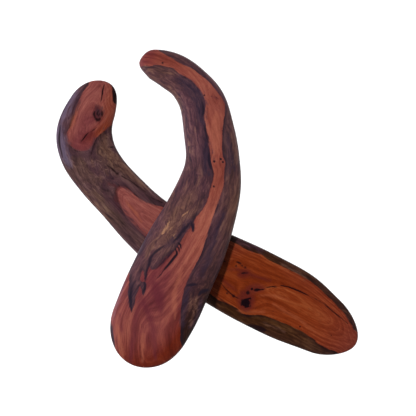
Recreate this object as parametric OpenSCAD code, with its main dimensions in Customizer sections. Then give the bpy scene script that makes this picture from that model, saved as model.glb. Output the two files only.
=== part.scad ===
// A pair of hooked wooden boomerangs, one lying across the other.
//
// Each is one solid piece of wood, swept along its own middle line. The lower one lies flat
// on its underside. The upper one rests on the lower one's crown and leans on it, so that its
// hook end hangs just clear of the surface that the lower one lies on.
//
// The origin is under the middle of the pair, on that surface. +Z is up, and +Y runs from the
// upper boomerang's blade towards its hook.

/* [Lower boomerang] */
// Thickness at the elbow, where it is thickest
lower_thickness = 20; // [20:0.5:26]
// Length of the rounded end at the hook
lower_hook_round = 32; // [24:1:40]
// Length of the rounded end at the blade
lower_blade_round = 40; // [30:1:50]

/* [Upper boomerang] */
// Thickness at the elbow, where it is thickest
upper_thickness = 20; // [16:0.5:24]
// Length of the rounded end at the hook
upper_hook_round = 14; // [10:1:20]
// Length of the rounded end at the blade
upper_blade_round = 46; // [36:1:56]

/* [Cross-section] */
// Height of the rim, where it is widest, as a share of the thickness
rim_share = 0.45; // [0.4:0.01:0.5]
// Squareness of the crown above the rim: 2 is an ellipse
crown_power = 2.6; // [2.2:0.1:3.2]
// Squareness of the underside below the rim
under_power = 3.2; // [2.6:0.1:4]
// Width of the flat along the underside, as a share of the whole width
flat_share = 0.55; // [0.4:0.05:0.6]

/* [Resting place] */
// Angle at which the upper one leans down towards its hook, in degrees
lean = 7.2; // [5:0.1:7.2]
// Gap aimed for between the two where they touch; the shape of the crown leaves 0.5 mm more
touch_gap = 0.3; // [0.2:0.1:1]

/* [Hidden] */

// Direction of the lower one's middle line under the crossing, about which the upper one leans
ridge_angle = -33;
// Half width of the lower one under the crossing
ridge_half_width = 38;

// Stations along the middle line, from hook to blade: [x, y, half width, share of thickness].
// x and y are measured from the point where the two middle lines cross.
lower_stations = [
    [-78.5, 176.5, 23, 0.66], [-98, 150.5, 27, 0.74], [-107, 123, 31, 0.82],
    [-103, 98.5, 31, 0.90], [-87.5, 74, 29.5, 0.96], [-64, 48, 29.5, 1], [-36, 20, 32, 1],
    [-1, -7, 36.5, 1], [41, -29, 40, 1], [85, -51.5, 42, 0.95], [125.5, -72.5, 40.5, 0.87],
    [161, -94, 32.5, 0.77], [193, -112, 25, 0.66]
];
upper_stations = [
    [-46.5, 200, 11, 0.58], [-30, 198.5, 17.5, 0.65], [-10, 190.5, 21.5, 0.72],
    [8.5, 177, 22.5, 0.79], [24, 154, 26, 0.87], [31.5, 121, 28.5, 0.94],
    [35, 90, 30, 1], [32, 61, 34.5, 1], [20, 25, 39.5, 1], [5.5, -8, 43.5, 1],
    [-10, -41, 44.5, 0.96], [-24, -73, 44.5, 0.9], [-39, -104, 42, 0.82],
    [-54, -133, 41.5, 0.73]
];

// Rings in each rounded end, and rings along the length between the two ends
end_rings = 8;
body_rings = 54;
// Points round each half of a ring, above the rim and below it
crown_points = 22;
under_points = 14;
// Steps in which a middle line's length is measured, for each pair of stations
length_steps = 8;
// How fast an end thins compared with how fast it narrows
end_thinning = 0.8;

// ---- Smooth curve through a list of stations ----

function last(list) = len(list) - 1;

// Station i, with one more made at each end by carrying the line straight on
function station(list, i) =
    i < 0 ? 2 * list[0] - list[1]
    : i > last(list) ? 2 * list[last(list)] - list[last(list) - 1]
    : list[i];

function spline(a, b, c, d, t) =
    (2 * b + (c - a) * t + (2 * a - 5 * b + 4 * c - d) * t * t
    + (3 * b - a - 3 * c + d) * t * t * t) / 2;

function spline_slope(a, b, c, d, t) =
    ((c - a) + 2 * (2 * a - 5 * b + 4 * c - d) * t + 3 * (3 * b - a - 3 * c + d) * t * t) / 2;

// Value and slope of the curve at u, where whole numbers are the stations
function curve(list, u) =
    let (i = min(floor(u), last(list) - 1), t = u - i)
    [
        spline(station(list, i - 1), station(list, i), station(list, i + 1),
            station(list, i + 2), t),
        spline_slope(station(list, i - 1), station(list, i), station(list, i + 1),
            station(list, i + 2), t)
    ];

function flat_point(p) = [p[0], p[1]];

// Pairs of [distance along the middle line, u], for lookup()
function length_table(list) =
    let (
        steps = last(list) * length_steps,
        line = [for (k = [0 : steps]) flat_point(curve(list, k / length_steps)[0])]
    )
    [
        for (k = 0, s = 0; k <= steps;
            s = s + (k < steps ? norm(line[k + 1] - line[k]) : 0), k = k + 1)
            [s, k / length_steps]
    ];

// ---- Rings ----

// Signed power, so that a quarter of a ring can be copied into all four quarters
function bend(value, power) = sign(value) * pow(abs(value), power);

// One point of the cross-section at angle a: [across, up], both from -1 to 1
function section(a) =
    sin(a) >= 0 ? [bend(cos(a), 2 / crown_power), pow(sin(a), 2 / crown_power)]
    : let (p = under_power, depth = pow(-sin(a), 2 / p), flat = pow(1 - pow(flat_share, p), 1 / p))
    [bend(cos(a), 2 / p), -min(1, depth / flat)];

section_angles = concat(
    [for (k = [0 : crown_points - 1]) 180 * k / crown_points],
    [for (k = [0 : under_points - 1]) 180 + 180 * k / under_points]
);

// Where the rings stand: [distance along the middle line, share of width left in the end]
function ring_places(length, hook_round, blade_round) = concat(
    [for (k = [1 : end_rings]) let (a = 90 * k / end_rings)
        [hook_round * (1 - cos(a)), sin(a)]],
    [for (k = [1 : body_rings - 1])
        [hook_round + (length - hook_round - blade_round) * k / body_rings, 1]],
    [for (k = [end_rings : -1 : 1]) let (a = 90 * k / end_rings)
        [length - blade_round * (1 - cos(a)), sin(a)]]
);

// One ring of points, standing square to the middle line
function ring(list, table, place, thickness) =
    let (
        found = curve(list, lookup(place[0], table)),
        middle = flat_point(found[0]),
        along = flat_point(found[1]) / norm(flat_point(found[1])),
        across = [-along[1], along[0]],
        half_width = found[0][2] * place[1],
        depth = found[0][3] * thickness,
        rim = depth * rim_share,
        thin = pow(place[1], end_thinning)
    )
    [
        for (a = section_angles) let (
            point = section(a),
            xy = middle + across * half_width * point[0],
            rise = point[1] > 0 ? (depth - rim) * point[1] : rim * point[1]
        )
        [xy[0], xy[1], rim + rise * thin]
    ];

// The point in which an end finishes
function tip(list, i, thickness) = [list[i][0], list[i][1], list[i][3] * thickness * rim_share];

// All the points of one boomerang, ring after ring, then the hook's tip and the blade's tip
function boomerang_points(list, thickness, hook_round, blade_round) =
    let (
        table = length_table(list),
        places = ring_places(table[last(table)][0], hook_round, blade_round)
    )
    concat(
        [for (place = places) each ring(list, table, place, thickness)],
        [tip(list, 0, thickness), tip(list, last(list), thickness)]
    );

// Triangles over the rings, and a fan at each tip
function boomerang_faces(count) =
    let (n = len(section_angles), rings = (count - 2) / n)
    concat(
        [for (r = [0 : rings - 2], k = [0 : n - 1]) let (next = (k + 1) % n)
            each [
                [r * n + k, (r + 1) * n + k, r * n + next],
                [(r + 1) * n + k, (r + 1) * n + next, r * n + next]
            ]],
        [for (k = [0 : n - 1]) [count - 2, k, (k + 1) % n]],
        [for (k = [0 : n - 1])
            [count - 1, (rings - 1) * n + (k + 1) % n, (rings - 1) * n + k]]
    );

// ---- Where the two lie ----

ridge = [cos(ridge_angle), sin(ridge_angle), 0];

// Height of the upper one's underside over the crossing: a leaning plane that just clears
// the lower one's crown, which is a superellipse
dual_power = crown_power / (crown_power - 1);
rest_height = lower_thickness * rim_share + touch_gap
    + pow(pow(lower_thickness * (1 - rim_share), dual_power)
        + pow(ridge_half_width * tan(lean), dual_power), 1 / dual_power);

// Turns a point about the ridge by the lean, and lifts it on to the lower one
function rest_on_lower(p) =
    p * cos(lean) + cross(p, ridge) * sin(lean) + ridge * (ridge * p) * (1 - cos(lean))
    + [0, 0, rest_height];

lower_points = boomerang_points(
    lower_stations, lower_thickness, lower_hook_round, lower_blade_round);
upper_points = [
    for (p = boomerang_points(
        upper_stations, upper_thickness, upper_hook_round, upper_blade_round))
        rest_on_lower(p)
];

// Middle of the pair in one direction, which goes to the origin
function middle_of(i) =
    let (values = [for (p = concat(lower_points, upper_points)) p[i]])
    (min(values) + max(values)) / 2;
origin_shift = [-middle_of(0), -middle_of(1), 0];

// ---- The pieces ----

module lower_boomerang() {
    color([0.42, 0.21, 0.15])
        translate(origin_shift)
            polyhedron(points = lower_points, faces = boomerang_faces(len(lower_points)));
}

module upper_boomerang() {
    color([0.52, 0.26, 0.21])
        translate(origin_shift)
            polyhedron(points = upper_points, faces = boomerang_faces(len(upper_points)));
}

lower_boomerang();
upper_boomerang();
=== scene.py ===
"""The looks of a crossed pair of hooked wooden boomerangs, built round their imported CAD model.

Each boomerang is one carved piece of wood: red heartwood showing as a figure inside dark outer
wood, with knots, drying cracks and an oiled satin finish. All lengths below are in mm unless a
name ends in _m. Places on a boomerang are [x, y] in its own flat frame, measured from the point
where the two middle lines cross, as the CAD stations are.
"""

import math

import bpy
import numpy as np
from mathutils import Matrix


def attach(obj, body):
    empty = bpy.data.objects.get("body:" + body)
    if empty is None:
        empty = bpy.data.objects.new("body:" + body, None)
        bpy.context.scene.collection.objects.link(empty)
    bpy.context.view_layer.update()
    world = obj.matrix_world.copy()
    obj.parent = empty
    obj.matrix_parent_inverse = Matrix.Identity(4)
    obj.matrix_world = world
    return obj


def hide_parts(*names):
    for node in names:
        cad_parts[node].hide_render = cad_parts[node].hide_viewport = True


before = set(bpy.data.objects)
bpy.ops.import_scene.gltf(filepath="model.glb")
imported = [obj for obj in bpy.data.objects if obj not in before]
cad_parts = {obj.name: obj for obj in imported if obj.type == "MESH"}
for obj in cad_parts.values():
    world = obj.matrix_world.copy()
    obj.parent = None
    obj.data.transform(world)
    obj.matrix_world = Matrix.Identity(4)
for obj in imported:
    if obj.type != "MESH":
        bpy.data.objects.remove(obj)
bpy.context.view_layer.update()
MM = 0.001

# ---- Shape of the pair, the same stations and formulas as in the CAD part ----

RIM_SHARE = 0.45
CROWN_POWER = 2.6
UNDER_POWER = 3.2
FLAT_SHARE = 0.55
END_THINNING = 0.8
LEAN = math.radians(7.2)
TOUCH_GAP = 0.3
RIDGE_ANGLE = math.radians(-33)
RIDGE_HALF_WIDTH = 38
LENGTH_STEPS = 8

# Stations are [x, y, half width, share of thickness], from hook to blade
LOWER_STATIONS = [
    [-78.5, 176.5, 23, 0.66], [-98, 150.5, 27, 0.74], [-107, 123, 31, 0.82],
    [-103, 98.5, 31, 0.90], [-87.5, 74, 29.5, 0.96], [-64, 48, 29.5, 1], [-36, 20, 32, 1],
    [-1, -7, 36.5, 1], [41, -29, 40, 1], [85, -51.5, 42, 0.95], [125.5, -72.5, 40.5, 0.87],
    [161, -94, 32.5, 0.77], [193, -112, 25, 0.66],
]
UPPER_STATIONS = [
    [-46.5, 200, 11, 0.58], [-30, 198.5, 17.5, 0.65], [-10, 190.5, 21.5, 0.72],
    [8.5, 177, 22.5, 0.79], [24, 154, 26, 0.87], [31.5, 121, 28.5, 0.94],
    [35, 90, 30, 1], [32, 61, 34.5, 1], [20, 25, 39.5, 1], [5.5, -8, 43.5, 1],
    [-10, -41, 44.5, 0.96], [-24, -73, 44.5, 0.9], [-39, -104, 42, 0.82],
    [-54, -133, 41.5, 0.73],
]

# Spacing of the mesh: along the length, and points over the crown and round the underside
RING_STEP = 1.0
CROWN_POINTS = 120
UNDER_POINTS = 70
# Extra points where the cross-section turns sharply, in mm of length for each radian of turn
EDGE_CARE = 7


def spline(points, u):
    """Catmull-Rom curve through points at u, where whole numbers are the points, and its slope."""
    points = np.asarray(points, float)
    first = 2 * points[0] - points[1]
    last = 2 * points[-1] - points[-2]
    padded = np.vstack([first, points, last])
    i = np.clip(np.floor(u).astype(int), 0, len(points) - 2)
    t = (u - i)[:, None]
    a, b, c, d = padded[i], padded[i + 1], padded[i + 2], padded[i + 3]
    square = 2 * a - 5 * b + 4 * c - d
    cube = 3 * b - a - 3 * c + d
    value = (2 * b + (c - a) * t + square * t ** 2 + cube * t ** 3) / 2
    slope = ((c - a) + 2 * square * t + 3 * cube * t ** 2) / 2
    return value, slope


def section_point(angle):
    """Across and up, each from -1 to 1, of the cross-section at these angles."""
    reach, rise = np.cos(angle), np.sin(angle)
    over = rise >= 0
    power = np.where(over, 2 / CROWN_POWER, 2 / UNDER_POWER)
    flat = (1 - FLAT_SHARE ** UNDER_POWER) ** (1 / UNDER_POWER)
    height = np.abs(rise) ** power
    return np.sign(reach) * np.abs(reach) ** power, np.where(over, height, -np.minimum(1, height / flat))


def even_angles(first, last, count):
    """Angles that space count points evenly round part of a section, closer at its sharp rim."""
    typical_half_width, typical_rise = 38, 10
    fine = np.linspace(first, last, 6001)[:-1]
    across, up = section_point(fine)
    dx, dz = np.diff(across * typical_half_width), np.diff(up * typical_rise)
    heading = np.unwrap(np.arctan2(dz, dx))
    turn = np.abs(np.diff(heading, prepend=heading[0]))
    walked = np.concatenate([[0], np.cumsum(np.hypot(dx, dz) + EDGE_CARE * turn)])
    return np.interp(np.linspace(0, walked[-1], count, endpoint=False), walked, fine)


def smooth_step(value, low, high):
    """0 below low, 1 above high, and smooth between."""
    t = np.clip((value - low) / (high - low), 0, 1)
    return t * t * (3 - 2 * t)


class Board:
    """The surface of one boomerang, as arrays with one row for each vertex."""

    def __init__(self, stations, thickness, hook_round, blade_round):
        places = np.arange((len(stations) - 1) * LENGTH_STEPS + 1) / LENGTH_STEPS
        line = spline(stations, places)[0][:, :2]
        walked = np.concatenate([[0], np.cumsum(np.linalg.norm(np.diff(line, axis=0), axis=1))])
        length = walked[-1]

        def end_angles(rounding):
            count = round(rounding * math.pi / 2 / RING_STEP)
            return np.arange(1, count + 1) * math.pi / 2 / count

        hook, blade = end_angles(hook_round), end_angles(blade_round)[::-1]
        body_count = round((length - hook_round - blade_round) / RING_STEP)
        body = np.linspace(hook_round, length - blade_round, body_count + 1)[1:-1]
        along = np.concatenate([
            hook_round * (1 - np.cos(hook)), body, length - blade_round * (1 - np.cos(blade))])
        share = np.concatenate([np.sin(hook), np.ones(len(body)), np.sin(blade)])
        found, slope = spline(stations, np.interp(along, walked, places))
        heading = slope[:, :2] / np.linalg.norm(slope[:, :2], axis=1)[:, None]
        side = np.stack([-heading[:, 1], heading[:, 0]], axis=-1)

        angles = np.concatenate([
            even_angles(0, math.pi, CROWN_POINTS),
            even_angles(math.pi, 2 * math.pi, UNDER_POINTS)])
        across, up = section_point(angles)
        half_width = found[:, 2] * share
        depth = found[:, 3] * thickness
        rim = depth * RIM_SHARE
        rise = np.where(up > 0, np.outer(depth - rim, up), np.outer(rim, up))
        offset = np.outer(half_width, across)
        height = rim[:, None] + rise * (share ** END_THINNING)[:, None]
        plan = found[:, None, :2] + side[:, None, :] * offset[:, :, None]

        tips = np.array(stations, float)[[0, -1]]
        tip_height = tips[:, 3] * thickness * RIM_SHARE
        self.rings, self.round = offset.shape
        self.x = np.append(plan[:, :, 0], tips[:, 0])
        self.y = np.append(plan[:, :, 1], tips[:, 1])
        self.z = np.append(height, tip_height)
        self.s = np.append(np.repeat(along, self.round), [0, length])
        self.t = np.append(offset, [0, 0])
        rim_here = np.append(np.repeat(rim, self.round), tip_height)
        self.under = smooth_step(rim_here - self.z, -1, 5)

    def faces(self):
        """Quads between the rings and a fan of triangles at each tip."""
        index = np.arange(self.rings * self.round).reshape(self.rings, self.round)
        nxt = np.roll(index, -1, axis=1)
        quads = np.stack([nxt[:-1], nxt[1:], index[1:], index[:-1]], axis=-1).reshape(-1, 4)
        hook_tip, blade_tip = self.rings * self.round, self.rings * self.round + 1
        hook_fan = [[int(b), int(a), hook_tip] for a, b in zip(index[0], nxt[0])]
        blade_fan = [[int(a), int(b), blade_tip] for a, b in zip(index[-1], nxt[-1])]
        return quads.tolist() + hook_fan + blade_fan

    def normals(self, points):
        """Outward directions, from the neighbours along and round the surface."""
        grid = points[:-2].reshape(self.rings, self.round, 3)
        ahead = np.gradient(grid, axis=0)
        turn = np.roll(grid, -1, axis=1) - np.roll(grid, 1, axis=1)
        out = np.cross(turn, ahead).reshape(-1, 3)
        out /= np.linalg.norm(out, axis=1)[:, None] + 1e-9
        ends = [grid[0, 0] * 0, grid[0, 0] * 0]
        return np.vstack([out, ends])


def rest_on_lower(points, thickness):
    """Leans the upper boomerang about the lower one's ridge and lifts it on to its crown."""
    ridge = np.array([math.cos(RIDGE_ANGLE), math.sin(RIDGE_ANGLE), 0])
    power = CROWN_POWER / (CROWN_POWER - 1)
    crown = (thickness * (1 - RIM_SHARE)) ** power
    slant = (RIDGE_HALF_WIDTH * math.tan(LEAN)) ** power
    lift = thickness * RIM_SHARE + TOUCH_GAP + (crown + slant) ** (1 / power)
    turned = points * math.cos(LEAN) + np.cross(points, ridge) * math.sin(LEAN)
    turned += np.outer(points @ ridge, ridge) * (1 - math.cos(LEAN))
    return turned + [0, 0, lift]


# ---- The figure in the wood: distances in mm, worked out at every vertex ----


def closed_curve(points, steps=4):
    """A smooth closed line through a list of points."""
    ring = np.array([points[-1], *points, points[0], points[1]], float)
    u = 1 + np.arange(len(points) * steps) / steps
    return spline(ring, u)[0]


def open_curve(points, steps=4):
    """A smooth open line through a list of points."""
    if len(points) < 3:
        return np.array(points, float)
    return spline(points, np.arange((len(points) - 1) * steps + 1) / steps)[0]


def inside_distance(x, y, outline):
    """Distance to a closed line: positive inside it, negative outside."""
    nearest = np.full(len(x), 1e9)
    inside = np.zeros(len(x), bool)
    for (ax, ay), (bx, by) in zip(outline, np.roll(outline, -1, axis=0)):
        ex, ey = bx - ax, by - ay
        along = np.clip(((x - ax) * ex + (y - ay) * ey) / (ex * ex + ey * ey + 1e-9), 0, 1)
        nearest = np.minimum(nearest, (x - ax - along * ex) ** 2 + (y - ay - along * ey) ** 2)
        if ay != by:
            inside ^= ((ay > y) != (by > y)) & (x < ax + (y - ay) * ex / ey)
    return np.sqrt(nearest) * np.where(inside, 1, -1)


def soft_distance(x, y, outline, power=3.0):
    """Distance to a closed line with the creases rounded away, without a sign."""
    total = np.zeros(len(x))
    for ax, ay in outline:
        total += ((x - ax) ** 2 + (y - ay) ** 2 + 0.5) ** (-power / 2)
    return (total / 4) ** (-1 / power)


def stroke_field(x, y, strokes):
    """How far inside the nearest stroke each vertex is, where a stroke is [half width, points].

    A stroke thins to a quarter of its half width at both ends, and one point makes a round spot.
    """
    best = np.full(len(x), -30.0)
    for half_width, points in strokes:
        line = open_curve(points)
        if len(line) == 1:
            best = np.maximum(best, half_width - np.hypot(x - line[0, 0], y - line[0, 1]))
            continue
        share = np.linspace(0, 1, len(line))
        reach = half_width * (0.25 + 0.75 * np.sin(math.pi * share) ** 0.6)
        for i in range(len(line) - 1):
            (ax, ay), (bx, by) = line[i], line[i + 1]
            ex, ey = bx - ax, by - ay
            along = np.clip(((x - ax) * ex + (y - ay) * ey) / (ex * ex + ey * ey + 1e-9), 0, 1)
            gap = np.hypot(x - ax - along * ex, y - ay - along * ey)
            best = np.maximum(best, reach[i] + (reach[i + 1] - reach[i]) * along - gap)
    return best


def blobs(x, y, patches):
    """Sum of soft oval patches, each [x, y, half length, half width, direction, amount]."""
    total = np.zeros(len(x))
    for px, py, long, wide, direction, amount in patches:
        turn = math.radians(direction)
        along = (x - px) * math.cos(turn) + (y - py) * math.sin(turn)
        across = (y - py) * math.cos(turn) - (x - px) * math.sin(turn)
        total += amount * np.exp(-0.5 * ((along / long) ** 2 + (across / wide) ** 2))
    return total


def fields(board, figure):
    """Everything that the wood material reads, by name."""
    left, down = figure["origin"]
    x, y, over = board.x - left, board.y - down, 1 - board.under
    wander_x = x + 5 * np.sin(board.s / 31 + 1)
    wander_y = y + 5 * np.sin(board.s / 43 + 2)
    heart = np.full(len(x), -1e3)
    heart_below = np.full(len(x), -1e3)
    round_heart = np.full(len(x), 1e3)
    for points in figure["heart"]:
        outline = closed_curve(points)
        top = inside_distance(x, y, outline)
        heart = np.maximum(heart, top)
        heart_below = np.maximum(heart_below, inside_distance(wander_x, wander_y, outline) - 4)
        soft = soft_distance(x, y, outline) * np.sign(top)
        round_heart = np.where(np.abs(soft) < np.abs(round_heart), soft, round_heart)
    heart = heart * over + heart_below * board.under

    # Grain that turns straight down over a broad blade, then parts round the knots
    along, flow = board.s.copy(), board.t.copy()
    for px, py, long, wide in figure["straight_grain"]:
        near = np.argmin((x - px) ** 2 + (y - py) ** 2 + 1e4 * board.under)
        share = np.clip(blobs(x, y, [[px, py, long, wide, 90, 1.3]]), 0, 1)
        along += share * (board.s[near] - (y - py) - along)
        flow += share * (board.t[near] + x - px - flow)
    bulge = np.zeros(len(x))
    for kx, ky, reach in figure["knots"]:
        near = np.argmin((x - kx) ** 2 + (y - ky) ** 2 + 1e4 * board.under)
        ds, dt = board.s - board.s[near], board.t - board.t[near]
        flow -= over * dt * reach ** 2 / (0.3 * ds ** 2 + dt ** 2 + 0.6 * reach ** 2)
        bulge += over * 0.9 * reach * np.exp(-(0.25 * ds ** 2 + dt ** 2) / (1.6 * reach ** 2))
    # Rings that follow the heart or the grain
    share = figure["rings_round_heart"]
    rings = share * round_heart + (1 - share) * flow
    rings += bulge + over * blobs(x, y, figure["swells"]) + 0.6 * board.z

    made = {"heart": heart, "rings": rings}
    for kind in ("tone", "warm", "olive", "swirl", "soften"):
        made[kind] = blobs(x, y, figure[kind])
    # One stroke kind here is a painted sheen along the left rims; the rest are the wood's own marks
    for kind in ("shade", "dark", "crack", "tan", "painted_sheen", "gold", "wine", "pale"):
        inside = stroke_field(x, y, figure[kind])
        made[kind] = np.where(board.under > 0.5, -30.0, inside)
    made["grain"] = np.stack([along, flow, board.z], axis=-1)
    return made


# In a figure, "heart" holds the outlines of the red wood, and the kinds from "shade" on hold
# strokes. "knots" are [x, y, reach], and the kinds from "swells" to "soften" hold oval patches.
# "origin" is where the figure's own zero lies in the boomerang's flat frame.
# "rings_round_heart" is how far the rings follow the heart's outline instead of the grain.
# "straight_grain" is [x, y, half length, half width] of a place where the grain runs straight
# down. Places and lengths are in mm. Many of the points are places picked by eye on the photo,
# which another script turned into mm and rounded to 0.5. Some were then moved.

# The upper boomerang's figure. Red runs from the hook's tip down the right of its middle line
# and fills the blade; its inner edge is feathered into tongues over the crossing.
UPPER_FIGURE = {
    "origin": [1.5, -1.5],
    "rings_round_heart": 0.15,
    "heart": [[
        [-25, 213], [-15, 207], [-4, 200], [8, 194], [19, 186], [29, 178], [39, 166], [45, 158],
        [47, 150], [46, 140], [44, 125], [43, 105], [43, 93], [46.5, 86], [45, 77], [45, 62],
        [42, 51], [37, 38], [33, 26], [28, 10], [24, -1], [19, -16], [10, -33], [4, -47],
        [1, -56], [-1, -68], [-2, -82], [-2, -97], [-1, -112], [14, -128], [-10, -170],
        [-70, -170], [-110, -120], [-100, -60], [-80, -25], [-60, -30], [-57, -39],
        [-57.5, -51], [-58.5, -57], [-57.5, -63], [-56, -69], [-54, -76], [-51, -68],
        [-50, -61], [-47, -55], [-45.5, -50], [-44, -54], [-42, -60], [-39, -53], [-39, -46],
        [-44, -44.5], [-45, -41], [-43.5, -35], [-42, -33], [-41.5, -37.5], [-39.5, -42],
        [-38.5, -34.5], [-36, -28], [-34, -31], [-32, -32], [-28, -30], [-22.5, -23.5],
        [-15.5, -16.5], [-8, -11.5], [-5, -8], [-2.5, -4], [-1, 0], [1.5, 4], [4, 9],
        [7.5, 13], [9.5, 15.5], [11, 9], [13, 14], [12.5, 20], [15, 25], [20, 31], [24, 38],
        [27.5, 46], [30, 56], [32, 63], [34, 72], [33, 79], [31, 87],
        [30, 98], [28, 107], [26, 117], [26, 127], [23, 137], [25, 148], [25, 154], [22, 163],
        [17, 171], [10, 179], [2, 184], [-5, 188], [-10, 193], [-18, 195], [-27, 197],
        [-36, 196], [-44, 196], [-62, 192], [-72, 210], [-55, 226], [-32, 222],
    ]],
    "straight_grain": [[-44, -118, 38, 60]],
    "knots": [[36, 160, 4], [35, 86, 3], [43, 89, 3], [18, -54, 5]],
    "swells": [
        [-42, -112, 36, 11, 90, 20], [-27, -50, 16, 6, 68, 5], [10, 60, 30, 10, 70, 4],
        [24, 130, 20, 8, 80, 6],
    ],
    "tone": [
        [30, 140, 90, 30, 90, 1.0], [-20, 200, 30, 12, 0, 0.7], [15, -10, 60, 14, 65, 0.7],
        [-42, 207, 9, 8, 0, -0.8], [-4, -84, 30, 10, 80, -0.7],
        [-28, -45, 16, 10, 60, -0.8], [-60, -100, 30, 10, 80, 0.6], [-10, -90, 40, 8, 85, 0.6],
    ],
    "warm": [
        [-48, -139, 60, 20, 0, 1.0], [6, -104, 50, 13, 68, 1.2], [-20, 204, 26, 9, -10, 0.5],
        [36, 66, 22, 9, 80, 0.35],
    ],
    "olive": [
        [-25, 190, 24, 9, -25, 0.8], [56, 76, 60, 9, 90, 1.0], [0, 30, 40, 12, 60, 0.7],
        [46, 10, 60, 5, 70, 0.7], [-15, 10, 26, 8, 55, 0.8], [18, 150, 12, 14, 90, -0.8],
        [30, 90, 20, 4, 90, -1.0],
    ],
    "swirl": [
        [-8, 5, 30, 18, 60, 0.8], [-5, 180, 26, 14, -30, 0.7], [20, 90, 60, 16, 90, 0.4],
        [20, -55, 18, 12, 70, 0.7], [50, 90, 40, 8, 90, 0.5],
    ],
    "soften": [[30, 30, 60, 3, 68, 0.5], [-40, -30, 14, 4, 60, 0.3]],
    "shade": [
        [6, [[-7, 181], [1, 177], [9, 170], [16, 160], [19, 150], [20, 140], [22, 129]]],
        [4, [[25, 112], [25, 102], [26, 92], [25, 82], [28, 72]]],
        [4, [[56, 100], [56, 90], [57, 78]]],
        [3.2, [[9, 21], [3, 16], [-1, 9], [-6, 3], [-12, -3], [-18, -8]]],
        [2.5, [[-34, 12], [-42, -2], [-50, -16], [-57, -28]]],
        [2.4, [[6, -53], [4, -66], [1, -78], [1, -92]]], [3, [[50, 118], [51, 96], [51, 74]]],
        [3.5, [[44, 30], [36, 6], [28, -18], [20, -38]]],
        [3.2, [[-52, -46], [-54, -58], [-54, -70]]],
        [1.6, [[20, -62], [18, -76], [10, -92]]],
    ],
    "dark": [
        [1.6, [[-10, -2], [-4, 4], [3, 13], [8, 19]]],
        [1.4, [[-20, -6], [-25, -10], [-30, -14], [-34, -19], [-36, -26], [-38, -33], [-40, -44]]],
        [1.0, [[-9, -12], [-16, -18], [-22, -25], [-29, -32]]],
        [1.5, [[9, 20], [11, 14], [11, 9]]],
        [1.4, [[-50, -44], [-55, -56], [-55, -70], [-54, -77]]],
        [1.2, [[-42, -58], [-40, -50], [-41, -45]]],
        [1.8, [[17, -59], [22, -55], [28, -53]]], [1.2, [[4, -50], [8, -48], [16, -48]]],
        [1.5, [[21, 157], [23, 147], [22, 137]]], [1.2, [[24, 126], [26, 118], [28, 108]]],
        [1.4, [[29, 98], [29, 88], [31, 78]]], [1.5, [[-77, -86], [-75, -100], [-72, -114]]],
        [1.1, [[54, 108], [53, 98]]], [0.9, [[13, 60], [15, 72]]], [0.8, [[5, 92], [7, 104]]],
    ],
    "crack": [
        [1.3, [[-8, -9], [-6, -15], [-9, -19], [-12, -23], [-17, -29], [-22, -35]]],
        [0.6, [[-20, -33], [-24, -38], [-28, -42]]],
        [0.9, [[-5, -3], [-2.5, -5], [-1.5, -10]]], [0.7, [[-6, -7], [-4, -9], [-3.5, -13]]],
        [0.9, [[24, 162]]], [0.9, [[30, 161], [33, 161]]], [1.1, [[37, 160], [40, 158]]],
        [1.1, [[-22, 199.5]]], [1.2, [[34.5, 86.5]]], [1.2, [[41.5, 89.5]]],
        [1.2, [[44, 86]]], [1.0, [[34, 59]]], [0.5, [[-29, -39]]],
    ],
    "tan": [
        [2.2, [[-8, 29], [-11, 21], [-16, 11]]], [2.4, [[-28, 3], [-32, -4], [-37, -12], [-40, -19]]],
        [1.6, [[-1, 23], [-3, 14]]], [1.8, [[6, 31], [1, 23]]], [1.6, [[11, 33], [6, 25]]],
        [1.2, [[20, 44], [16, 37], [13, 31]]], [1.3, [[-6, 35], [-9, 28]]],
        [2.0, [[-14, 170], [-8, 163], [-3, 154], [-1, 145]]], [2.2, [[-42, 196], [-33, 190]]],
        [2.2, [[-22, 188], [-10, 186]]], [1.3, [[6, 112], [8, 98]]], [1.2, [[2, 56], [6, 68]]],
        [1.4, [[-14, 40], [-10, 52]]], [1.2, [[16, 60], [20, 74]]], [2.0, [[54, 120], [57, 102], [58, 84]]],
        [1.2, [[52, 60], [54, 44]]], [1.5, [[14, -62], [13, -74], [8, -90]]],
        [1.3, [[9, -57], [9, -66], [7, -76]]],
        [1.3, [[44, 20], [38, 2]]], [1.2, [[14, 120], [14, 134]]],
    ],
    # Painted sheen: a cool blue-grey reflection of the window light, painted along the left rim
    "painted_sheen": [
        [2.5, [[-26, 36], [-38, 16], [-48, 0], [-56, -18], [-60, -32]]],
        [2.5, [[-62, -40], [-70, -60], [-78, -84]]],
    ],
    "gold": [
        [1.1, [[-14, 20], [-18, 13], [-22, 6]]], [0.9, [[-28, 9], [-30, 5]]],
        [0.8, [[-7, 8], [-10, 5]]], [0.8, [[-5, 5], [-9, 0]]], [0.7, [[-16, 8], [-12, 14]]],
        [0.7, [[5, 30], [8, 33]]], [0.6, [[18, 42], [15, 36]]], [0.6, [[0, 26], [3, 29]]],
    ],
    "wine": [
        [2.4, [[-55, -130], [-51.5, -99.5], [-48.5, -77], [-44, -60.5]]],
        [2.4, [[-44, -60.5], [-41, -69], [-34.5, -84.5], [-30.5, -99.5], [-28.5, -127]]],
        [5.0, [[-32, -44], [-28, -54], [-24, -66], [-23, -78]]],
        [2.0, [[-30, -36], [-36, -50]]],
        [3, [[34, 160], [40, 158]]], [1.6, [[-66, -80], [-64, -96]]],
    ],
    "pale": [
        [2.0, [[-70, -90], [-66, -110], [-62, -128]]],
        [2.0, [[-42, -100], [-42, -115], [-42, -130]]], [2.4, [[0, -30], [-8, -56], [-8, -84]]],
        [5.0, [[37, 142], [36, 120], [37, 96]]],
    ],
}

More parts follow.
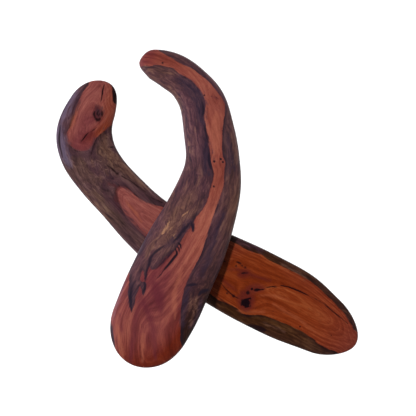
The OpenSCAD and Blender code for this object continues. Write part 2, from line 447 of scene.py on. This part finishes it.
# The lower boomerang's figure: a red oval in the hook, and a red body from the elbow to the
# blade's end between two dark edges.
LOWER_FIGURE = {
    "origin": [1.5, -1],
    "rings_round_heart": 1,
    "heart": [
        [
            [-103.5, 178], [-106, 172], [-110.5, 166], [-115, 157], [-118, 148], [-119.5, 138],
            [-122, 130.5], [-124.5, 126], [-127.5, 121], [-128, 116], [-126, 110], [-121.5, 105],
            [-116.5, 102], [-110, 100.5], [-103, 102], [-98.5, 107], [-96.5, 112], [-93.5, 116],
            [-89, 121], [-83.5, 125], [-79, 130], [-71, 136], [-60, 140], [-62, 153],
            [-73, 154], [-77, 156], [-77, 163], [-77.5, 171], [-80, 178], [-84, 198],
            [-104, 196],
        ],
        [
            [-70, 59], [-65, 61.5], [-59, 58.5], [-53, 53], [-46, 47.5], [-37.5, 43.5],
            [-28, 40.5], [-18, 38], [10, 26], [40, 8], [52, 2],
            [61, -2], [73, -9], [86, -13], [97, -20], [114, -28], [130, -36], [144, -45],
            [156, -56], [166, -65], [178, -78], [186, -90], [192, -98], [212, -102],
            [205, -136], [176, -132], [170, -120], [162, -117], [152, -112], [143, -105],
            [132, -98], [121, -92], [107, -86], [93, -81], [83, -79], [72, -79], [66, -77],
            [58, -70], [46, -65], [36, -60], [10, -40], [-20, -14], [-38, 4], [-43, 8.5],
            [-49.5, 14.5], [-56, 21.5], [-61.5, 29], [-65.5, 36.5], [-69, 46], [-71, 54],
        ],
    ],
    "straight_grain": [],
    "knots": [
        [-93, 142, 4], [70.5, -66.5, 9], [72, -55, 3], [80, -52, 4], [68.5, -34.5, 4],
        [60, -22, 3], [-77, 105, 3], [-104, 114, 4],
    ],
    "swells": [
        [142, -73, 36, 11, -30, 12], [-41, 28, 24, 8, -42, 13], [104, -55, 14, 5, -16, 7],
        [-108, 140, 24, 9, 62, 6],
    ],
    "tone": [
        [-30, 30, 50, 24, -40, 1.0], [-112, 150, 30, 12, 70, 0.9], [-110, 112, 12, 12, 0, -0.6],
        [-124, 118, 8, 4, 80, 0.8], [-103, 136, 9, 5, 0, -0.5], [-82, 150, 30, 9, 80, 1.0],
    ],
    "warm": [
        [62, -42, 46, 60, -30, 1.0], [150, -90, 50, 60, -30, 0.85], [-80, 150, 30, 7, 80, 0.5],
        [-92, 122, 12, 4, 40, 0.5],
    ],
    "olive": [
        [-84, 108, 12, 8, 90, 1.0], [-60, 74, 34, 6, -42, 1.0], [-100, 70, 40, 8, -55, 0.8],
        [110, -100, 60, 8, -26, 0.9], [-70, 26, 50, 7, -45, 0.7], [130, -40, 50, 6, -35, 0.2],
        [-132, 130, 30, 6, 80, -0.6], [-120, 90, 14, 10, 60, 0.5],
    ],
    "swirl": [
        [-96, 88, 20, 18, -40, 1.0], [-86, 66, 18, 12, -50, 0.6], [-128, 118, 22, 8, 80, 0.6],
        [70, -60, 16, 12, 0, 0.35], [56, -30, 20, 12, 0, 0.35], [-78, 104, 9, 7, 0, 0.1],
    ],
    "soften": [[-73, 53, 13, 8, 70, 3.5], [-60, 30, 20, 4, -50, 0.8], [-112, 101, 16, 5, 0, 0.5]],
    "shade": [
        [3.2, [[-86, 60], [-85, 69], [-76, 70], [-68, 66.5], [-56, 60], [-42, 51], [-28, 45], [-16, 41]]],
        [3.4, [[-86, 60], [-82, 50], [-75, 43], [-68, 34], [-60, 26], [-49, 15], [-37, 4]]],
        [4.4, [[-93, 148], [-93, 143], [-92.5, 138]]],
        [3.5, [[-126, 132], [-131, 120], [-128, 108], [-118, 98], [-106, 95]]],
        [2.5, [[-94, 116], [-97, 106], [-100, 97], [-94, 92]]],
        [3, [[-104, 84], [-95, 78], [-88, 74]]],
        [3.0, [[-84, 124], [-79, 118], [-76, 112]]], [2.5, [[60, 4], [74, -3], [88, -9]]],
        [4, [[-122, 142], [-118, 154], [-113, 164]]],
    ],
    "dark": [
        [2.2, [[-76, 176], [-75.5, 166], [-75, 156]]],
        [3.0, [[66, -63], [65, -69]]], [2.6, [[75, -63], [75, -70]]],
        [0.9, [[59, -21.5], [62, -22], [65, -23.5]]], [0.7, [[59.5, -25.5]]],
        [0.7, [[66, -25.5]]], [1.1, [[69.5, -27]]], [1.2, [[56.5, -58.5]]], [0.8, [[49.5, -55.5]]],
        [1.5, [[44, -20], [47, -21]]], [2.2, [[68, -79], [76, -81]]],
        [3.2, [[72, -91], [82, -94], [92, -96]]], [1.6, [[40, -60], [50, -68]]],
        [0.8, [[-82, 85], [-76, 80], [-71, 75.5]]],
        [0.4, [[-66, 73], [-56, 67], [-48, 61], [-40, 55]]], [0.9, [[-36, 50], [-22, 44]]],
        [0.5, [[-94, 116], [-97, 107], [-100, 97]]],
        [2.4, [[-74, 106], [-79, 105]]], [1.3, [[-71, 75.5]]],
        [1.2, [[-97, 145], [-97, 141], [-95.5, 137.5]]], [1.6, [[-96, 138], [-93, 135.5], [-89.5, 138]]],
        [0.9, [[-89, 146], [-88.5, 142], [-89, 138.5]]],
        [0.8, [[-92.5, 146], [-94, 143], [-92.5, 140.5], [-91, 142.5]]],
        [1.9, [[72, -55]]], [1.5, [[79, -52], [82, -52], [85, -51.5]]],
        [0.9, [[65, -34], [69, -33.5], [72.5, -34]]],
        [1.0, [[-135, 130], [-136, 112], [-132, 94]]],
    ],
    "crack": [
        [0.7, [[-86.5, 176], [-88, 170], [-89, 162], [-90, 156]]],
        [0.7, [[-103, 121.5], [-107, 117], [-112, 110]]], [0.4, [[-94, 127.5], [-98, 124], [-102, 121.5]]],
        [0.6, [[91, -49.5], [99, -48.5], [106, -49]]],
        [0.75, [[107, -47], [117, -49], [130, -54], [142, -59.5]]],
        [0.5, [[139, -58], [154, -66], [164, -74.5], [174, -82.5], [182, -89]]],
        [0.5, [[43, -45], [48, -51], [56, -58], [63, -62]]],
        [0.8, [[129, -92]]], [0.8, [[163.5, -101.5]]],
        [4.4, [[70, -66]]], [3.0, [[69, -71], [73, -70]]], [3.2, [[68, -63], [75, -61]]],
        [1.3, [[76.5, -51]]], [0.7, [[80, -52], [85, -52], [91, -51]]],
    ],
    "tan": [
        [4.0, [[-84, 118], [-86, 108], [-82, 100], [-73, 92], [-64, 82], [-52, 70], [-38, 59]]],
        [1.2, [[-92, 104], [-90, 98], [-80, 90], [-70, 80]]],
        [1.2, [[-112, 62], [-96, 42], [-78, 22]]],
        [1.4, [[-100, 90], [-97, 84]]], [1.2, [[-84, 78], [-81, 74]]], [1.2, [[-90, 72], [-88, 66]]],
        [0.8, [[110, -24], [124, -31], [138, -40]]], [0.8, [[90, -88], [112, -98]]],
    ],
    # Painted sheen: a cool blue-grey reflection of the window light, painted along the hook's left rim
    "painted_sheen": [
        [5, [[-136, 132], [-136, 118], [-132, 100], [-124, 84]]],
        [4, [[-118, 168], [-128, 150], [-134, 134]]],
    ],
    "gold": [],
    "wine": [
        [3.5, [[-110, 111], [-104, 117], [-98, 122]]], [5, [[-94, 150], [-93, 143], [-93, 135]]],
        [4.5, [[63, -34.5], [68.5, -34], [74, -34.5]]], [9, [[70, -56], [70, -64], [71, -72]]],
        [5, [[70, -54], [78, -51], [90, -50]]],
        [1.5, [[-74, 50], [-72, 43], [-68, 34]]],
        [3, [[-80, 64], [-74, 62]]], [1.6, [[42, -38], [50, -46], [58, -52]]],
        [1.5, [[50, -30], [62, -30], [76, -36], [96, -42]]],
    ],
    "pale": [
        [1.6, [[100, -68], [124, -82], [146, -98]]], [2.2, [[-124, 124], [-120, 136], [-114, 154]]],
        [1.2, [[84, -58], [98, -58], [116, -62]]], [1.8, [[60, -74], [72, -76], [90, -76]]],
        [1.4, [[-62, 46], [-52, 34], [-44, 22]]],
    ],
}

# ---- Materials ----

# How much brighter the scene's light is than what shows white paper as white
LIGHT_LEVEL = 1.5


def shown(red, green, blue):
    """Linear colour that looks like this 0 to 255 screen colour under the scene's light."""
    linear = []
    for value in (red, green, blue):
        share = value / 255
        flat = share / 12.92 if share <= 0.04045 else ((share + 0.055) / 1.055) ** 2.4
        linear.append(flat / LIGHT_LEVEL)
    return (*linear, 1)


class Painter:
    """Adds shader nodes to one material. Each call gives back the socket that it makes."""

    def __init__(self, material):
        material.use_nodes = True
        self.tree = material.node_tree
        self.surface = self.tree.nodes["Principled BSDF"]

    def node(self, kind, **settings):
        made = self.tree.nodes.new(kind)
        for name, value in settings.items():
            setattr(made, name, value)
        return made

    def put(self, socket, value):
        if isinstance(value, bpy.types.NodeSocket):
            self.tree.links.new(value, socket)
        else:
            socket.default_value = value

    def attribute(self, name, output="Fac"):
        return self.node("ShaderNodeAttribute", attribute_name=name).outputs[output]

    def math(self, operation, *values, clamp=False):
        made = self.node("ShaderNodeMath", operation=operation, use_clamp=clamp)
        for socket, value in zip(made.inputs, values):
            self.put(socket, value)
        return made.outputs[0]

    def scaled(self, vector, scale):
        made = self.node("ShaderNodeVectorMath", operation="MULTIPLY")
        self.put(made.inputs[0], vector)
        made.inputs[1].default_value = scale
        return made.outputs[0]

    def vector(self, x, y, z):
        made = self.node("ShaderNodeCombineXYZ")
        for socket, value in zip(made.inputs, (x, y, z)):
            self.put(socket, value)
        return made.outputs[0]

    def noise(self, vector, detail=3.0, roughness=0.55, distortion=0.0):
        made = self.node("ShaderNodeTexNoise")
        self.put(made.inputs["Vector"], vector)
        made.inputs["Scale"].default_value = 1
        made.inputs["Detail"].default_value = detail
        made.inputs["Roughness"].default_value = roughness
        made.inputs["Distortion"].default_value = distortion
        return made.outputs["Fac"]

    def step(self, value, low, high, start=0.0, stop=1.0):
        made = self.node("ShaderNodeMapRange", interpolation_type="SMOOTHSTEP")
        for name, given in zip(("Value", "From Min", "From Max", "To Min", "To Max"),
                               (value, low, high, start, stop)):
            self.put(made.inputs[name], given)
        return made.outputs[0]

    def ramp(self, value, stops):
        made = self.node("ShaderNodeValToRGB")
        band = made.color_ramp
        while len(band.elements) < len(stops):
            band.elements.new(0.5)
        for element, (place, colour) in zip(band.elements, stops):
            element.position = place
            element.color = colour
        self.put(made.inputs[0], value)
        return made.outputs[0]

    def mix(self, factor, first, second, blend="MIX"):
        made = self.node("ShaderNodeMix", data_type="RGBA", blend_type=blend)
        self.put(made.inputs[0], factor)
        self.put(made.inputs[6], first)
        self.put(made.inputs[7], second)
        return made.outputs[2]


def wood(name, colours, specular, calm, ring_rate):
    """Oiled wood whose figure comes from the fields stored on the mesh.

    calm is how gentle the streaks in the red wood are, and ring_rate how close its fine rings are.
    """
    material = bpy.data.materials.new(name)
    p = Painter(material)
    grain = p.attribute("grain", "Vector")
    heart = p.attribute("heart")
    rings = p.attribute("rings")
    split = p.node("ShaderNodeSeparateXYZ")
    p.put(split.inputs[0], grain)
    along = split.outputs[0]

    # Grain bent by slow eddies where the figure swirls
    eddy = p.node("ShaderNodeTexNoise")
    p.put(eddy.inputs["Vector"], p.scaled(grain, (0.05, 0.11, 0.11)))
    eddy.inputs["Scale"].default_value = 1
    eddy.inputs["Detail"].default_value = 3
    shift = p.node("ShaderNodeVectorMath", operation="SUBTRACT")
    p.put(shift.inputs[0], eddy.outputs["Color"])
    shift.inputs[1].default_value = (0.5, 0.5, 0.5)
    sway = p.node("ShaderNodeVectorMath", operation="SCALE")
    p.put(sway.inputs[0], p.scaled(shift.outputs[0], (40, 22, 22)))
    p.put(sway.inputs["Scale"], p.math("MULTIPLY_ADD", p.attribute("swirl"), 1.0, 0.12))
    bent = p.node("ShaderNodeVectorMath", operation="ADD")
    p.put(bent.inputs[0], grain)
    p.put(bent.inputs[1], sway.outputs[0])
    grain = bent.outputs[0]

    fibre = p.noise(p.scaled(grain, (0.03, 0.42, 0.42)), detail=4, roughness=0.62)
    fleck = p.noise(p.scaled(grain, (0.09, 0.4, 0.4)), detail=3, roughness=0.6)
    fine = p.noise(p.scaled(grain, (0.1, 0.9, 0.9)), detail=3, roughness=0.65)
    cloud = p.noise(p.scaled(grain, (0.03, 0.06, 0.06)), detail=4, distortion=0.6)
    band = p.noise(p.scaled(grain, (0.009, 0.16, 0.16)), detail=3, roughness=0.6, distortion=0.3)
    ring_band = p.noise(
        p.vector(p.math("MULTIPLY", along, 0.007), p.math("MULTIPLY", rings, 0.14), 0), detail=2)
    ring_line = p.noise(
        p.vector(p.math("MULTIPLY", along, 0.01), p.math("MULTIPLY", rings, ring_rate), 0),
        detail=3, roughness=0.6)

    # Edge between heartwood and outer wood, roughened along the fibres
    rough_edge = p.math("MULTIPLY_ADD", fleck, 2.6, -1.3)
    ragged = p.math("ADD", heart, p.math("MULTIPLY_ADD", cloud, 2.4, p.math("ADD", rough_edge, -1.2)))
    soften = p.math("ADD", p.attribute("soften"), 0.4)
    in_heart = p.step(ragged, p.math("MULTIPLY", soften, -1), soften)

    # Light and dark streaks, following the rings and the fibres
    def blend(width, *parts):
        """Weighs noises together and spreads the result over 0 to 1."""
        total = 0.0
        for weight, noise in parts:
            total = p.math("MULTIPLY_ADD", noise, weight, total)
        return p.step(total, 0.5 - width, 0.5 + width)

    red_streak = blend(calm, (0.3, ring_band), (0.4, ring_line), (0.15, fibre), (0.15, fleck))
    dark_streak = blend(0.2, (0.3, band), (0.1, ring_line), (0.3, fibre), (0.3, fleck))

    tone = p.math("ADD", p.attribute("tone"), p.math("MULTIPLY_ADD", cloud, 0.8, -0.4), clamp=True)
    warm = p.math("ADD", p.attribute("warm"), 0, clamp=True)
    red = p.mix(tone, p.ramp(red_streak, colours["wine"]), p.ramp(red_streak, colours["salmon"]))
    red = p.mix(warm, red, p.ramp(red_streak, colours["orange"]))
    olive = p.math("MULTIPLY_ADD", cloud, 1.6, -0.75)
    olive = p.math("ADD", olive, p.math("MULTIPLY", p.attribute("olive"), 0.6), clamp=True)
    dark = p.mix(olive, p.ramp(dark_streak, colours["plum"]), p.ramp(dark_streak, colours["olive"]))
    dark = p.mix(warm, dark, p.ramp(dark_streak, colours["umber"]))

    # A near-black line where outer wood meets heartwood
    near = p.math("MULTIPLY", p.step(ragged, -5.0, -0.6), p.step(cloud, 0.38, 0.62))
    dark = p.mix(p.math("MULTIPLY", near, 0.7), dark, colours["dark"])
    colour = p.mix(in_heart, dark, red)

    def mark(kind, soft, low, high, strength, new_colour, under):
        """Paints the strokes of one kind, with their edges roughened by the flecks."""
        reach = p.math("ADD", p.attribute(kind), p.math("MULTIPLY_ADD", fleck, soft, -soft / 2))
        inside = p.math("MULTIPLY", p.step(reach, low, high), strength)
        return p.mix(inside, under, new_colour)

    colour = mark("pale", 6, -2.0, 2.0, 0.35, colours["pale"], colour)
    colour = mark("wine", 8, -3.5, 3.0, 0.65, colours["stain"], colour)
    colour = mark("shade", 20, -4.0, 3.5, 0.85, p.ramp(dark_streak, colours["shade"]), colour)
    colour = mark("tan", 10, -2.5, 2.5, 0.65, p.ramp(dark_streak, colours["tan"]), colour)
    # Painted sheen: a cool blue-grey reflection of light along the left rims, put into the colour
    colour = mark("painted_sheen", 14, -4.0, 4.0, 0.5, shown(106, 94, 118), colour)
    colour = mark("gold", 6, -0.6, 0.8, 0.8, shown(164, 118, 90), colour)
    colour = mark("dark", 3.5, -1.0, 0.7, 0.92, colours["dark"], colour)
    colour = mark("crack", 1.6, -0.45, 0.3, 0.97, colours["crack"], colour)

    # Fine fibres, lighter and darker, and open pores
    thread = p.math("MULTIPLY_ADD", fine, 0.7, 0.65)
    colour = p.mix(1.0, colour, p.vector(thread, thread, thread), blend="MULTIPLY")
    pore_place = p.scaled(grain, (0.16, 1.9, 1.9))
    pores = p.step(p.noise(pore_place, detail=1), 0.66, 0.74)
    colour = p.mix(p.math("MULTIPLY", pores, 0.35), colour, shown(46, 24, 24))

    p.put(p.surface.inputs["Base Color"], colour)
    roughness = p.math("MULTIPLY_ADD", fibre, 0.2, 0.36)
    p.put(p.surface.inputs["Roughness"], roughness)
    p.surface.inputs["Specular IOR Level"].default_value = specular

    bump = p.node("ShaderNodeBump")
    relief = p.math("SUBTRACT", p.math("MULTIPLY_ADD", fine, 0.6, fibre), pores)
    p.put(bump.inputs["Height"], relief)
    bump.inputs["Strength"].default_value = 0.5
    bump.inputs["Distance"].default_value = 0.00012
    p.put(p.surface.inputs["Normal"], bump.outputs[0])
    return material


def build_board(name, board, figure, rested, material):
    """Makes one boomerang's dense mesh with its figure stored on it."""
    made = fields(board, figure)
    flat = np.stack([board.x, board.y, board.z], axis=-1)
    # Shallow hand-carved waves, and hollows where knots and cracks are open
    wave = np.sin(board.s / 9.5 + board.t / 14) + np.sin(board.s / 14.3 - board.t / 8 + 2)
    sink = 0.07 * (wave + 2)
    sink += 0.35 * smooth_step(made["crack"], -0.6, 0.5)
    sink += 0.25 * smooth_step(made["dark"], -0.8, 1.5) * smooth_step(made["heart"], 0, 3)
    points = flat - board.normals(flat) * sink[:, None]
    points = rested(points) + origin_shift
    mesh = bpy.data.meshes.new(name)
    mesh.from_pydata((points * MM).tolist(), [], board.faces())
    mesh.polygons.foreach_set("use_smooth", [True] * len(mesh.polygons))
    for key, values in made.items():
        vector = values.ndim == 2
        layer = mesh.attributes.new(key, "FLOAT_VECTOR" if vector else "FLOAT", "POINT")
        layer.data.foreach_set("vector" if vector else "value", values.astype(np.float32).ravel())
    mesh.materials.append(material)
    mesh.validate()
    piece = bpy.data.objects.new(name, mesh)
    bpy.context.scene.collection.objects.link(piece)
    return piece


lower = Board(LOWER_STATIONS, 20, 32, 40)
upper = Board(UPPER_STATIONS, 20, 14, 46)


def on_floor(points):
    return points


def on_lower(points):
    return rest_on_lower(points, 20)


# The origin is under the middle of the pair
pair = np.vstack([
    np.stack([lower.x, lower.y, lower.z], axis=-1),
    on_lower(np.stack([upper.x, upper.y, upper.z], axis=-1)),
])
middle = (pair.min(axis=0) + pair.max(axis=0)) / 2
origin_shift = np.array([-middle[0], -middle[1], 0])

upper_figured = wood("upper_figured", {
    "wine": [(0, shown(80, 28, 34)), (0.5, shown(112, 50, 53)), (1, shown(142, 74, 68))],
    "salmon": [(0, shown(104, 42, 36)), (0.5, shown(142, 74, 62)), (1, shown(172, 102, 82))],
    "orange": [(0, shown(70, 14, 2)), (0.5, shown(98, 28, 10)), (1, shown(126, 50, 28))],
    "plum": [(0, shown(36, 23, 36)), (0.5, shown(80, 49, 58)), (1, shown(122, 82, 82))],
    "olive": [(0, shown(44, 28, 30)), (0.5, shown(91, 60, 54)), (1, shown(126, 88, 72))],
    "umber": [(0, shown(18, 6, 6)), (0.5, shown(46, 22, 18)), (1, shown(78, 50, 38))],
    "shade": [(0, shown(24, 18, 34)), (0.5, shown(48, 34, 50)), (1, shown(82, 54, 60))],
    "tan": [(0, shown(72, 42, 40)), (0.5, shown(106, 72, 62)), (1, shown(142, 102, 84))],
    "stain": shown(88, 30, 42),
    "pale": shown(172, 98, 76),
    "dark": shown(30, 20, 34),
    "crack": shown(24, 14, 26),
}, 0.15, 0.21, 0.35)
lower_figured = wood("lower_figured", {
    "wine": [(0, shown(76, 28, 34)), (0.5, shown(112, 54, 56)), (1, shown(144, 80, 74))],
    "salmon": [(0, shown(94, 40, 38)), (0.5, shown(130, 69, 64)), (1, shown(164, 98, 88))],
    "orange": [(0, shown(86, 24, 2)), (0.5, shown(119, 47, 18)), (1, shown(150, 78, 42))],
    "plum": [(0, shown(36, 22, 32)), (0.5, shown(80, 53, 60)), (1, shown(118, 88, 92))],
    "olive": [(0, shown(40, 26, 22)), (0.5, shown(82, 58, 50)), (1, shown(116, 88, 70))],
    "umber": [(0, shown(22, 8, 1)), (0.5, shown(54, 27, 10)), (1, shown(90, 58, 32))],
    "shade": [(0, shown(38, 22, 32)), (0.5, shown(62, 38, 46)), (1, shown(92, 60, 62))],
    "tan": [(0, shown(66, 42, 36)), (0.5, shown(98, 68, 58)), (1, shown(128, 96, 78))],
    "stain": shown(78, 24, 26),
    "pale": shown(160, 86, 56),
    "dark": shown(26, 10, 14),
    "crack": shown(14, 4, 10),
}, 0.05, 0.23, 0.5)

boards = []
for body, board, figure, rested, material, slot in (
    ("lower_boomerang", lower, LOWER_FIGURE, on_floor, lower_figured, "lower_wood"),
    ("upper_boomerang", upper, UPPER_FIGURE, on_lower, upper_figured, "upper_wood"),
):
    piece = build_board(body + "_carved", board, figure, rested, material)
    boards.append(piece)
    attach(piece, body)
    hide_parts(body)

# ---- Floor, light and camera ----

FLOOR_HALF_M = 8
FLOOR_DROP_M = 0.0003

floor_mesh = bpy.data.meshes.new("floor")
corners = [(-1, -1), (1, -1), (1, 1), (-1, 1)]
floor_mesh.from_pydata(
    [(x * FLOOR_HALF_M, y * FLOOR_HALF_M, -FLOOR_DROP_M) for x, y in corners], [], [(0, 1, 2, 3)])
floor = bpy.data.objects.new("floor", floor_mesh)
bpy.context.scene.collection.objects.link(floor)
paper = bpy.data.materials.new("pale_floor")
paper.use_nodes = True
paper_surface = paper.node_tree.nodes["Principled BSDF"]
paper_surface.inputs["Base Color"].default_value = (0.93, 0.93, 0.93, 1)
paper_surface.inputs["Roughness"].default_value = 0.9
paper_surface.inputs["Specular IOR Level"].default_value = 0.1
floor_mesh.materials.append(paper)


def sun(name, azimuth, elevation, strength, spread, colour):
    """A distant soft light. Azimuth is where it stands, anticlockwise from +X."""
    lamp = bpy.data.lights.new(name, "SUN")
    lamp.energy = strength
    lamp.angle = math.radians(spread)
    lamp.color = colour
    light = bpy.data.objects.new(name, lamp)
    light.rotation_euler = (0, math.radians(90 - elevation), math.radians(azimuth))
    bpy.context.scene.collection.objects.link(light)
    return light


def links(light, receivers, blockers):
    """Limits what a light falls on and what can shade it."""
    for kind, members in (("receiver", receivers), ("blocker", blockers)):
        group = bpy.data.collections.new(light.name + "_" + kind)
        for member in members:
            group.objects.link(member)
        setattr(light.light_linking, kind + "_collection", group)


key = sun("key", 150, 62, 4.0, 7, (1, 0.97, 0.93))
key.visible_glossy = False
links(key, boards, boards)
# The same light on the floor alone, so that the floor stays pale round the pair
floor_key = sun("floor_key", 150, 62, 4.0, 7, (1, 1, 1))
links(floor_key, [floor], [floor])
sun("window", 178, 24, 1.6, 50, (0.78, 0.88, 1))

world = bpy.data.worlds.new("studio")
world.use_nodes = True
world.node_tree.nodes["Background"].inputs[0].default_value = (0.95, 0.97, 1, 1)
world.node_tree.nodes["Background"].inputs[1].default_value = 0.35
bpy.context.scene.world = world

SENSOR = 36
VIEW_WIDTH = 457.6
CAMERA_DISTANCE = 1250
CAMERA_ELEVATION = math.radians(86)
LOOK_AT = np.array([1.8, -2.8, 15])

camera_data = bpy.data.cameras.new("camera")
camera_data.sensor_width = SENSOR
camera_data.lens = SENSOR * CAMERA_DISTANCE / VIEW_WIDTH
camera = bpy.data.objects.new("camera", camera_data)
back = np.array([0, -math.cos(CAMERA_ELEVATION), math.sin(CAMERA_ELEVATION)])
camera.location = (LOOK_AT + back * CAMERA_DISTANCE) * MM
camera.rotation_euler = (math.pi / 2 - CAMERA_ELEVATION, 0, 0)
bpy.context.scene.collection.objects.link(camera)
bpy.context.scene.camera = camera
bpy.context.scene.view_settings.view_transform = "Standard"
